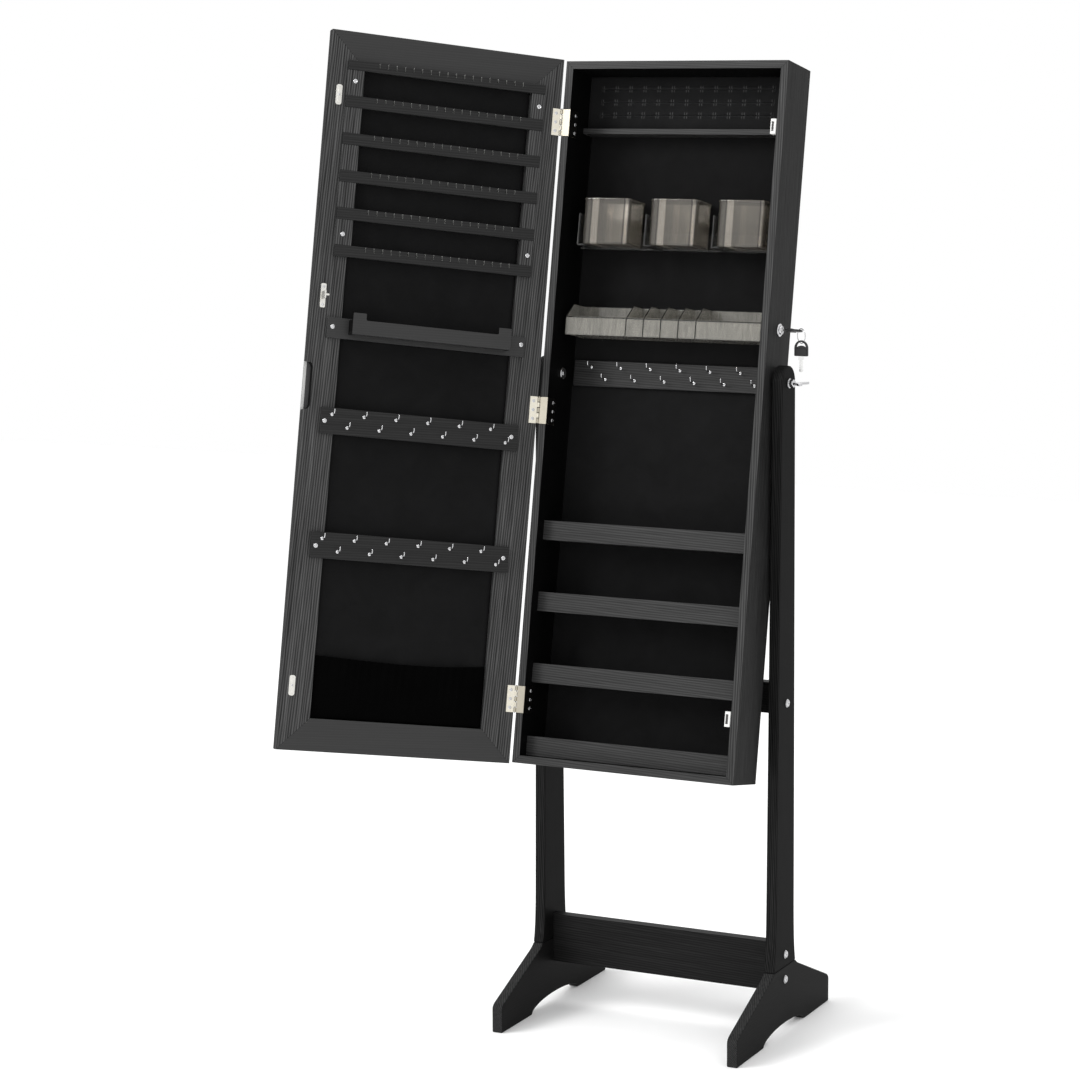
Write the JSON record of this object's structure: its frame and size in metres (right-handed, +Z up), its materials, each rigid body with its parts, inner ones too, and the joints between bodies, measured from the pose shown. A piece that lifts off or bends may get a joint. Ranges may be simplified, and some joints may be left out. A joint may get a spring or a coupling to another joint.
{
  "type": "jewelry armoire",
  "caption": "Tilting floor-standing jewelry armoire: shallow cabinet with a mirrored door, hooks, shelves, bins and a tray, hung between two footed uprights.",
  "frame": {"origin": "on the floor, under the middle of the armoire's bounding box with the door open as modelled", "axes": "+Z up; the cabinet's front faces -Y and leans back towards +Y; +X is the cabinet's right as seen from the front"},
  "size_m": [0.7018, 0.6036, 1.5475],
  "materials": {
    "wood_foil": "satin black wood-grain foil",
    "velvet": "matt black short-pile velvet",
    "pouch_fabric": "matt black woven cloth",
    "chromed_metal": "bright plated",
    "hinge_metal": "pale brass-tinted plated steel",
    "mirror_glass": "silvered glass",
    "smoky_plastic": "glossy smoke-tinted clear plastic",
    "clear_plastic": "glossy clear plastic",
    "white_plastic": "satin white moulded plastic",
    "key_plastic": "satin black"
  },
  "bodies": {
    "stand": {"left_upright": "wood_foil", "right_upright": "wood_foil", "left_foot": "wood_foil", "right_foot": "wood_foil", "lower_stretcher": "wood_foil", "rear_crossbar": "wood_foil", "left_stretcher_bolt_upper": "chromed_metal", "left_stretcher_bolt_lower": "chromed_metal", "left_crossbar_bolt": "chromed_metal", "right_stretcher_bolt_upper": "chromed_metal", "right_stretcher_bolt_lower": "chromed_metal", "right_crossbar_bolt": "chromed_metal"},
    "left_wing": {"left_wing_bolt": "chromed_metal"},
    "right_wing": {"right_wing_bolt": "chromed_metal"},
    "cabinet": {"left_side_panel": "wood_foil", "right_side_panel": "wood_foil", "top_panel": "wood_foil", "bottom_panel": "wood_foil", "back_panel": "wood_foil", "tray_shelf_1": "wood_foil", "tray_shelf_2": "wood_foil", "tray_shelf_3": "wood_foil", "bottom_lip": "wood_foil", "cabinet_hook_rail": "wood_foil", "ring_shelf": "wood_foil", "back_lining": "velvet", "ring_pad": "velvet", "left_pivot_nut": "chromed_metal", "right_pivot_nut": "chromed_metal", "bin_holder": "clear_plastic", "cosmetic_tray": "smoky_plastic", "upper_catch": "white_plastic", "lower_catch": "white_plastic", "lock_housing": "chromed_metal", "cabinet_hinge_leaf_1": "hinge_metal", "cabinet_hinge_leaf_2": "hinge_metal", "cabinet_hinge_leaf_3": "hinge_metal"},
    "left_bin_body": {"left_bin": "smoky_plastic"},
    "middle_bin_body": {"middle_bin": "smoky_plastic"},
    "right_bin_body": {"right_bin": "smoky_plastic"},
    "lock_core": {"lock_plug_cam": "chromed_metal", "lock_key": "key_plastic"},
    "ring": {"key_ring": "chromed_metal"},
    "spare": {"spare_key": "key_plastic"},
    "door": {"door_hinge_stile": "wood_foil", "door_free_stile": "wood_foil", "door_top_rail": "wood_foil", "door_bottom_rail": "wood_foil", "earring_rack": "wood_foil", "door_hook_rail_1": "wood_foil", "door_hook_rail_2": "wood_foil", "door_shelf": "wood_foil", "door_mirror": "mirror_glass", "door_lining": "velvet", "fabric_pouch": "pouch_fabric", "lock_strike": "chromed_metal", "door_hinge_leaf_1": "hinge_metal", "door_hinge_leaf_2": "hinge_metal", "door_hinge_leaf_3": "hinge_metal"}
  },
  "joints": [
    {"name": "cabinet_tilt", "type": "hinge", "parent": "stand", "child": "cabinet", "pos_m": [0.11739, 0.11183, 1.0155], "axis": [1, 0, 0], "range_deg": [-12, 4]},
    {"name": "left_wing_turn", "type": "hinge", "parent": "stand", "child": "left_wing", "pos_m": [-0.09761, 0.11183, 1.0155], "axis": [1, 0, 0], "continuous": true},
    {"name": "right_wing_turn", "type": "hinge", "parent": "stand", "child": "right_wing", "pos_m": [0.33239, 0.11183, 1.0155], "axis": [1, 0, 0], "continuous": true},
    {"name": "door_swing", "type": "hinge", "parent": "cabinet", "child": "door", "pos_m": [-0.06911, 0.05376, 0.96193], "axis": [0, 0.1874, 0.9823], "range_deg": [-24, 136]},
    {"name": "left_bin_lift", "type": "slide", "parent": "cabinet", "child": "left_bin_body", "axis": [0, 0.1874, 0.9823], "range_m": [0, 0.06]},
    {"name": "middle_bin_lift", "type": "slide", "parent": "cabinet", "child": "middle_bin_body", "axis": [0, 0.1874, 0.9823], "range_m": [0, 0.06]},
    {"name": "right_bin_lift", "type": "slide", "parent": "cabinet", "child": "right_bin_body", "axis": [0, 0.1874, 0.9823], "range_m": [0, 0.06]},
    {"name": "lock_turn", "type": "hinge", "parent": "cabinet", "child": "lock_core", "pos_m": [0.29739, 0.12457, 1.094], "axis": [1, 0, 0], "range_deg": [-90, 0]},
    {"name": "key_ring_swing", "type": "hinge", "parent": "lock_core", "child": "ring", "pos_m": [0.33869, 0.12457, 1.094], "axis": [0.6, 0.8, 0], "range_deg": [-8, 8]},
    {"name": "spare_key_swing", "type": "hinge", "parent": "ring", "child": "spare", "pos_m": [0.33869, 0.12457, 1.0787], "axis": [0.6, 0.8, 0], "range_deg": [-20, 20]}
  ]
}
